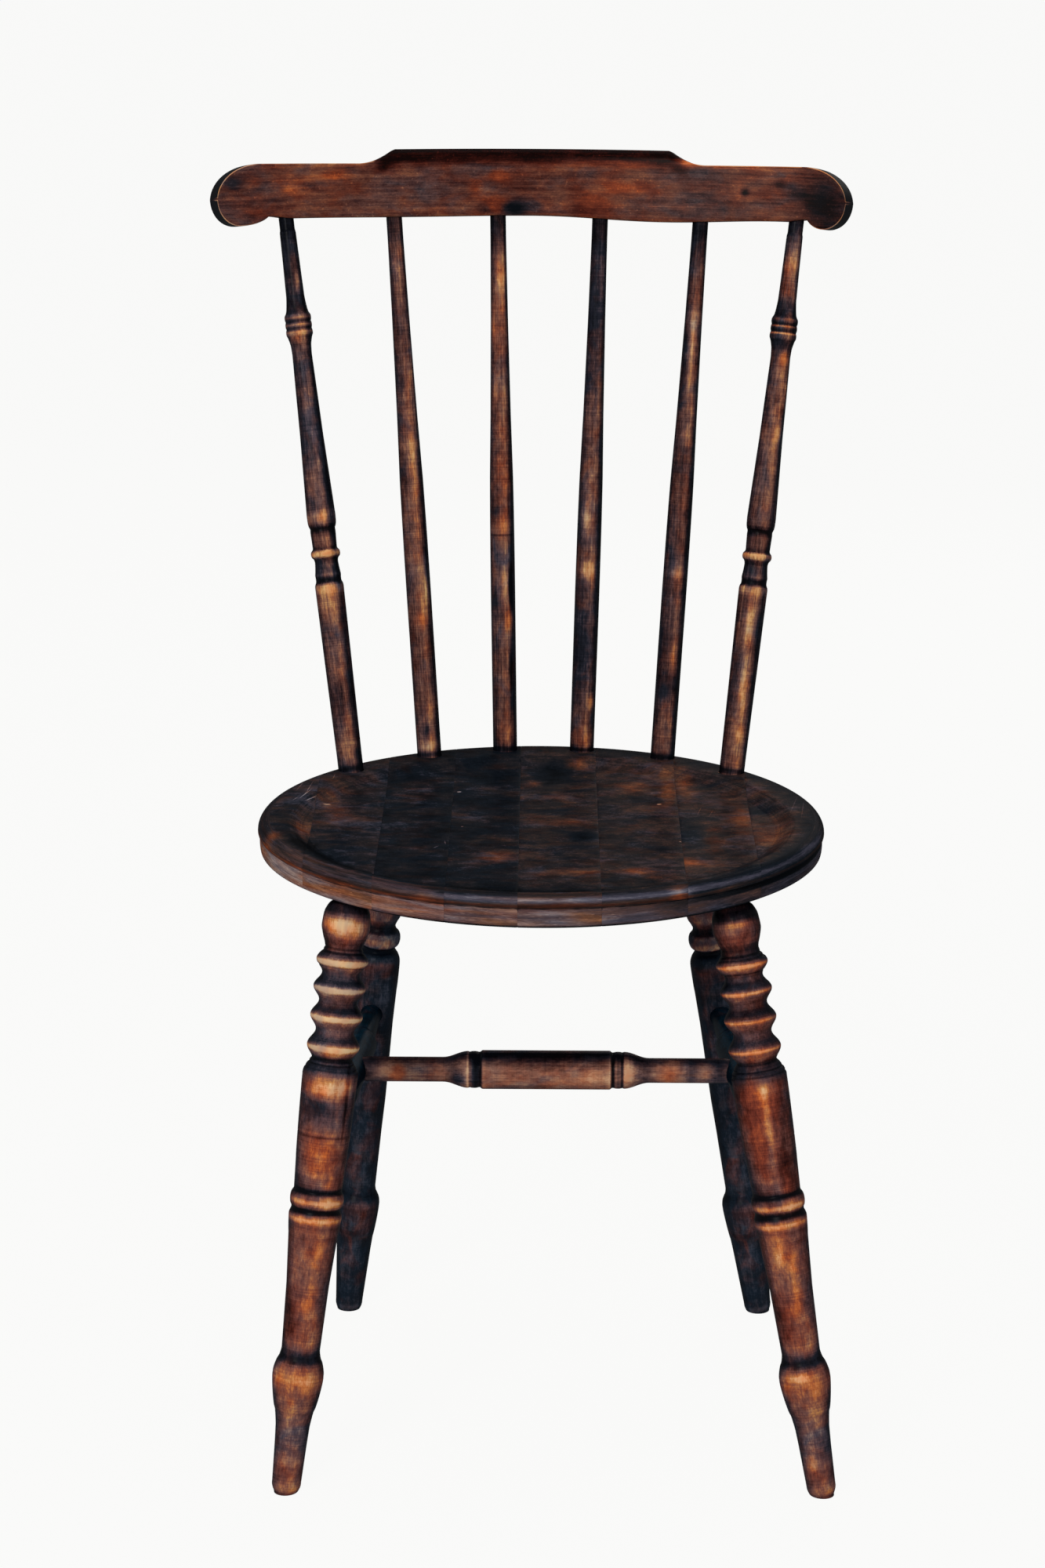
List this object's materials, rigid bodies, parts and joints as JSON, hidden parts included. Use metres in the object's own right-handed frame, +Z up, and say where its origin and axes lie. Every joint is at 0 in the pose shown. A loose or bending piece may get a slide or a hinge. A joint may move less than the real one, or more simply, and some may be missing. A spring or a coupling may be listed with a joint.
{
  "type": "spindle back chair",
  "caption": "Old stained wooden chair: round dished seat, splayed turned legs with stacked rings, H stretcher, plain spindles between turned posts, curved top rail.",
  "frame": {"origin": "on the floor, under the middle of the chair's bounding box", "axes": "+Z up, the chair faces -Y, +X to the right as seen from the front"},
  "size_m": [0.463, 0.4408, 0.867],
  "materials": {
    "top_rail": "old dark stain and satin varnish, slightly worn",
    "back_post_left": "old dark stain and satin varnish, worn to bare wood on the beads",
    "back_post_right": "old dark stain and satin varnish, worn to bare wood on the beads",
    "spindle_1": "old dark stain and satin varnish, streaked",
    "spindle_2": "old dark stain and satin varnish, streaked",
    "spindle_3": "old dark stain and satin varnish, streaked",
    "spindle_4": "old dark stain and satin varnish, streaked",
    "seat_stave_1": "old dark stain, worn satin varnish",
    "seat_stave_2": "old dark stain, worn satin varnish",
    "seat_stave_3": "old dark stain, worn satin varnish",
    "seat_stave_4": "old dark stain, worn satin varnish",
    "seat_stave_5": "old dark stain, worn satin varnish",
    "seat_stave_6": "old dark stain, worn satin varnish",
    "seat_stave_7": "old dark stain, worn satin varnish",
    "seat_stave_8": "old dark stain, worn satin varnish",
    "leg_front_left": "old dark stain worn to golden bare wood on rings and shoulders",
    "leg_front_right": "old dark stain worn to golden bare wood on rings and shoulders",
    "leg_back_left": "old dark stain and satin varnish",
    "leg_back_right": "old dark stain and satin varnish",
    "side_stretcher_left": "old dark stain and satin varnish",
    "side_stretcher_right": "old dark stain and satin varnish",
    "cross_stretcher": "old dark stain and satin varnish, streaked"
  },
  "bodies": {
    "root": {"top_rail": "top_rail", "back_post_left": "back_post_left", "back_post_right": "back_post_right", "spindle_1": "spindle_1", "spindle_2": "spindle_2", "spindle_3": "spindle_3", "spindle_4": "spindle_4", "seat_stave_1": "seat_stave_1", "seat_stave_2": "seat_stave_2", "seat_stave_3": "seat_stave_3", "seat_stave_4": "seat_stave_4", "seat_stave_5": "seat_stave_5", "seat_stave_6": "seat_stave_6", "seat_stave_7": "seat_stave_7", "seat_stave_8": "seat_stave_8", "leg_front_left": "leg_front_left", "leg_front_right": "leg_front_right", "leg_back_left": "leg_back_left", "leg_back_right": "leg_back_right", "side_stretcher_left": "side_stretcher_left", "side_stretcher_right": "side_stretcher_right", "cross_stretcher": "cross_stretcher"}
  },
  "joints": []
}
